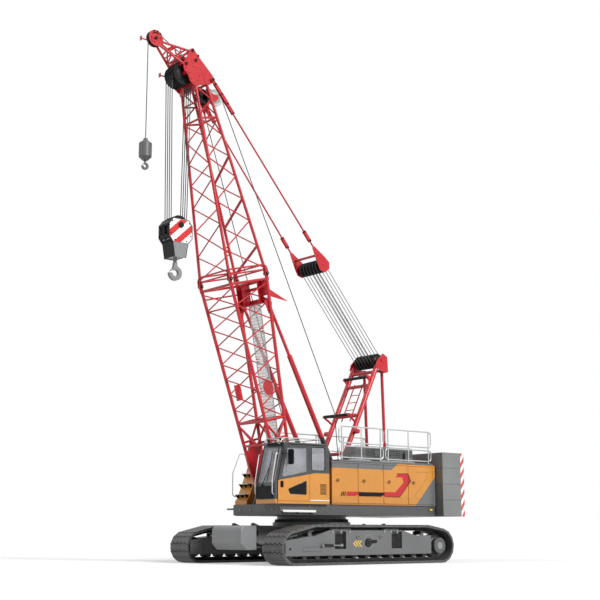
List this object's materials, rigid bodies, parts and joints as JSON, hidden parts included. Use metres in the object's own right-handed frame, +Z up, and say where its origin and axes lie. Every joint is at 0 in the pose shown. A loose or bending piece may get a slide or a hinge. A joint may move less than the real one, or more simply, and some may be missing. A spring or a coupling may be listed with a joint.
{
  "type": "crawler crane",
  "caption": "Crawler crane with a short two-part lattice boom, gantry and luffing stays, slab counterweight, side cab and two hook blocks.",
  "frame": {"origin": "on the ground under the slewing centre", "axes": "+X towards the front of the machine, where the boom points, +Y to its left side with the cab, +Z up"},
  "size_m": [11.3932, 5.51, 15.5802],
  "materials": {
    "red_paint": "semi-gloss red paint on welded tube and plate",
    "orange_paint": "semi-gloss ochre orange paint on sheet metal",
    "grey_paint": "satin mid grey paint",
    "light_grey_paint": "satin light grey paint",
    "dark_grey_paint": "satin dark grey paint on the upper cab",
    "track_steel": "cast steel shoes, lightly worn",
    "weight_paint": "satin grey paint on cast slabs",
    "bare_steel": "machined steel",
    "sheave_black": "black painted sheaves",
    "galvanised": "galvanised tube and mesh",
    "window_glass": "lightly tinted flat glass",
    "cab_trim": "black moulded trim and seat cover"
  },
  "bodies": {
    "undercarriage": {"carbody": "grey_paint", "carbody_weight_front": "light_grey_paint", "carbody_weight_rear": "light_grey_paint", "track_frame_left": "grey_paint", "track_frame_right": "grey_paint", "track_left": "track_steel", "track_right": "track_steel", "idlers": "track_steel", "sprockets": "track_steel", "rollers": "track_steel", "slew_ring_lower": "track_steel"},
    "upper": {"slew_ring_upper": "grey_paint", "deck": "grey_paint", "left_house": "orange_paint", "right_house": "orange_paint", "engine": "grey_paint", "engine_hood": "grey_paint", "walkways": "grey_paint", "handrails": "galvanised", "counterweight_slab_1": "weight_paint", "counterweight_slab_2": "weight_paint", "counterweight_slab_3": "weight_paint", "counterweight_slab_4": "weight_paint", "hoist_drums": "grey_paint", "gantry": "red_paint", "gantry_rods": "red_paint", "cab_shell": "orange_paint", "cab_glass": "window_glass", "cab_seat": "cab_trim", "cab_console": "cab_trim"},
    "boom": {"boom_base": "red_paint", "boom_tip": "red_paint", "boom_joint_pins": "bare_steel", "guide_sheave": "bare_steel", "jib": "red_paint", "boom_walkway": "galvanised"},
    "cab_door": {"cab_door": "orange_paint", "cab_door_glass": "window_glass"},
    "stay_head": {"gantry_sheaves": "sheave_black"},
    "stay_block": {"floating_block": "red_paint", "floating_sheaves": "sheave_black", "pendants": "red_paint"},
    "backstop_tubes": {"backstop_tubes": "red_paint"},
    "backstop_rods": {"backstop_rods": "red_paint"},
    "head_sheaves": {"head_sheaves": "sheave_black"},
    "main_block": {"hook_block": "light_grey_paint", "hook_sheaves": "sheave_black"},
    "main_hook": {"main_hook": "light_grey_paint"},
    "tip_sheave": {"tip_sheave": "sheave_black"},
    "aux_hook": {"aux_hook": "light_grey_paint"},
    "house_door_1": {"house_door_1": "orange_paint"},
    "house_door_2": {"house_door_2": "orange_paint"},
    "house_door_3": {"house_door_3": "orange_paint"},
    "house_door_4": {"house_door_4": "orange_paint"}
  },
  "joints": [
    {"name": "slewing", "type": "hinge", "parent": "undercarriage", "child": "upper", "pos_m": [0, 0, 1.3], "axis": [0, 0, 1], "continuous": true},
    {"name": "boom_luff", "type": "hinge", "parent": "upper", "child": "boom", "pos_m": [1.415, 0, 2.085], "axis": [0, -1, 0], "range_deg": [-45.46, 4.54]},
    {"name": "cab_door_hinge", "type": "hinge", "parent": "upper", "child": "cab_door", "pos_m": [1.468, 1.702, 2.5], "axis": [0, 0, 1], "range_deg": [0, 100]},
    {"name": "stay_swing", "type": "hinge", "parent": "upper", "child": "stay_head", "pos_m": [-2.45, 0, 6.37], "axis": [0, -1, 0], "range_deg": [-40.96, 4.14]},
    {"name": "stay_reeve", "type": "slide", "parent": "stay_head", "child": "stay_block", "axis": [0.6434, 0, 0.7655], "range_m": [-0.446, 4.374]},
    {"name": "backstop_swing", "type": "hinge", "parent": "upper", "child": "backstop_tubes", "pos_m": [-0.358, 0, 2.9], "axis": [0, -1, 0], "range_deg": [-39.96, 4.04]},
    {"name": "backstop_slide", "type": "slide", "parent": "backstop_tubes", "child": "backstop_rods", "axis": [0.4654, 0, 0.8851], "range_m": [-0.149, 1.398]},
    {"name": "head_sheaves_level", "type": "hinge", "parent": "boom", "child": "head_sheaves", "pos_m": [5.14907, 0, 14.37103], "axis": [0, -1, 0], "range_deg": [-4.59, 45.51]},
    {"name": "main_hoist", "type": "slide", "parent": "head_sheaves", "child": "main_block", "axis": [0, 0, 1], "range_m": [-7.9, 3.2]},
    {"name": "main_hook_swivel", "type": "hinge", "parent": "main_block", "child": "main_hook", "pos_m": [5.14907, 0, 8.5], "axis": [0, 0, 1], "continuous": true},
    {"name": "tip_sheave_level", "type": "hinge", "parent": "boom", "child": "tip_sheave", "pos_m": [6.01975, 0, 15.33016], "axis": [0, -1, 0], "range_deg": [-4.59, 45.51]},
    {"name": "aux_hoist", "type": "slide", "parent": "tip_sheave", "child": "aux_hook", "axis": [0, 0, 1], "range_m": [-11.1, 2.6]},
    {"name": "house_door_1_hinge", "type": "hinge", "parent": "upper", "child": "house_door_1", "pos_m": [-0.493, 1.612, 2.4], "axis": [0, 0, 1], "range_deg": [0, 85]},
    {"name": "house_door_2_hinge", "type": "hinge", "parent": "upper", "child": "house_door_2", "pos_m": [-1.543, 1.612, 2.4], "axis": [0, 0, 1], "range_deg": [0, 85]},
    {"name": "house_door_3_hinge", "type": "hinge", "parent": "upper", "child": "house_door_3", "pos_m": [-2.593, 1.612, 2.4], "axis": [0, 0, 1], "range_deg": [0, 85]},
    {"name": "house_door_4_hinge", "type": "hinge", "parent": "upper", "child": "house_door_4", "pos_m": [-3.693, 1.612, 2.4], "axis": [0, 0, 1], "range_deg": [0, 85]}
  ],
  "couplings": [
    {"joint": "stay_swing", "follows": "boom_luff", "ratio": 0.9},
    {"joint": "stay_reeve", "follows": "boom_luff", "m_per_rad": -5.5},
    {"joint": "backstop_swing", "follows": "boom_luff", "ratio": 0.878},
    {"joint": "backstop_slide", "follows": "boom_luff", "m_per_rad": -1.75},
    {"joint": "head_sheaves_level", "follows": "boom_luff", "ratio": -1},
    {"joint": "tip_sheave_level", "follows": "boom_luff", "ratio": -1}
  ]
}
